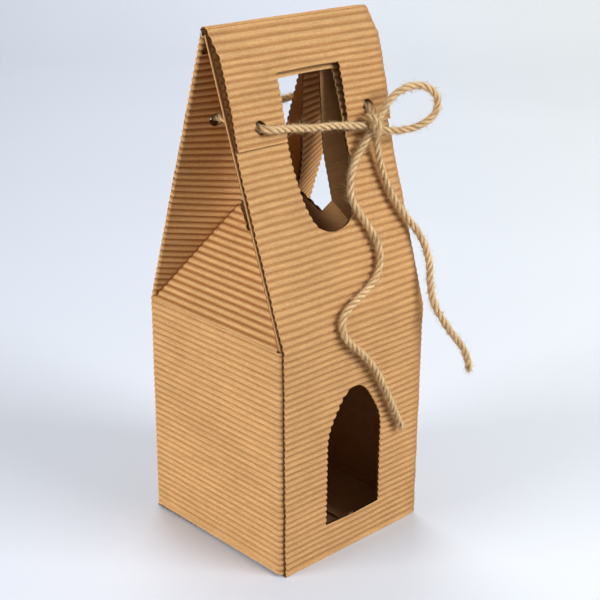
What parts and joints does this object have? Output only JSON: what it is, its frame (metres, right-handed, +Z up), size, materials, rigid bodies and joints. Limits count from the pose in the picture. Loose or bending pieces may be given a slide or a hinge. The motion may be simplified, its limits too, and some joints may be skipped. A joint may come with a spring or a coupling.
{
  "type": "window gift box",
  "caption": "Gable-top gift carton of single-face corrugated board with an arched lower window and an upper window, tied shut with twine.",
  "frame": {"origin": "middle of the base, on the surface that the carton stands on", "axes": "+Z up to the ridge, -Y towards the front with the lower window, X along the ridge"},
  "size_m": [0.1163, 0.1171, 0.2598],
  "materials": {
    "kraft_board": "matt unbleached kraft with open flutes",
    "jute_twine": "rough laid natural fibre"
  },
  "bodies": {
    "root": {"carton": "kraft_board", "twine_tie": "jute_twine", "twine_knot": "jute_twine", "twine_loop": "jute_twine", "twine_tail_1": "jute_twine", "twine_tail_2": "jute_twine"}
  },
  "joints": []
}
